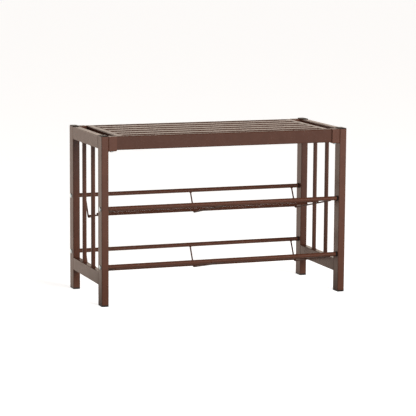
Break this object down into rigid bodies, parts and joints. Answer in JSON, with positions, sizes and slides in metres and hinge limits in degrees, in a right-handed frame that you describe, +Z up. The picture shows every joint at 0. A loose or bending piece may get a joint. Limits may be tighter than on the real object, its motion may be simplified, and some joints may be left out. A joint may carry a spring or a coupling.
{
  "type": "entryway bench",
  "caption": "Steel entryway bench with a slatted seat, barred side frames and sloping wire shelves for shoes below.",
  "frame": {"origin": "on the floor, at the middle of the footprint", "axes": "+X along the bench's width, +Y to the back, +Z up; the front is -Y"},
  "size_m": [0.7764, 0.33, 0.5],
  "materials": {
    "brown_paint": "semi-gloss powder coat",
    "black_plastic": "satin",
    "zinc_steel": "bright zinc plate"
  },
  "bodies": {
    "root": {"foot_back_left": "black_plastic", "foot_back_right": "black_plastic", "foot_front_left": "black_plastic", "foot_front_right": "black_plastic", "leg_back_left": "brown_paint", "leg_back_right": "brown_paint", "leg_cap_back_left": "black_plastic", "leg_cap_back_right": "black_plastic", "leg_cap_front_left": "black_plastic", "leg_cap_front_right": "black_plastic", "leg_front_left": "brown_paint", "leg_front_right": "brown_paint", "lower_shelf_bolts": "zinc_steel", "lower_shelf_inserts": "zinc_steel", "lower_shelf_rod_back": "brown_paint", "lower_shelf_rod_front": "brown_paint", "lower_shelf_rod_middle": "brown_paint", "lower_shelf_spacers": "black_plastic", "lower_shelf_tube_back": "brown_paint", "lower_shelf_tube_front": "brown_paint", "lower_shelf_wire_left": "brown_paint", "lower_shelf_wire_middle": "brown_paint", "lower_shelf_wire_right": "brown_paint", "seat_bracket_back_left": "brown_paint", "seat_bracket_back_right": "brown_paint", "seat_bracket_front_left": "brown_paint", "seat_bracket_front_right": "brown_paint", "seat_end_tube_left": "brown_paint", "seat_end_tube_right": "brown_paint", "seat_nuts": "zinc_steel", "seat_rail_back": "brown_paint", "seat_rail_front": "brown_paint", "seat_screws": "zinc_steel", "seat_slat_1": "brown_paint", "seat_slat_2": "brown_paint", "seat_slat_3": "brown_paint", "seat_slat_4": "brown_paint", "seat_slat_5": "brown_paint", "side_lower_rail_left": "brown_paint", "side_lower_rail_right": "brown_paint", "side_top_rail_left": "brown_paint", "side_top_rail_right": "brown_paint", "upper_shelf_bolts": "zinc_steel", "upper_shelf_inserts": "zinc_steel", "upper_shelf_rod_back": "brown_paint", "upper_shelf_rod_front": "brown_paint", "upper_shelf_rod_middle": "brown_paint", "upper_shelf_spacers": "black_plastic", "upper_shelf_tube_back": "brown_paint", "upper_shelf_tube_front": "brown_paint", "upper_shelf_wire_left": "brown_paint", "upper_shelf_wire_middle": "brown_paint", "upper_shelf_wire_right": "brown_paint", "upright_back_left": "brown_paint", "upright_back_right": "brown_paint", "upright_front_left": "brown_paint", "upright_front_right": "brown_paint"}
  },
  "joints": []
}
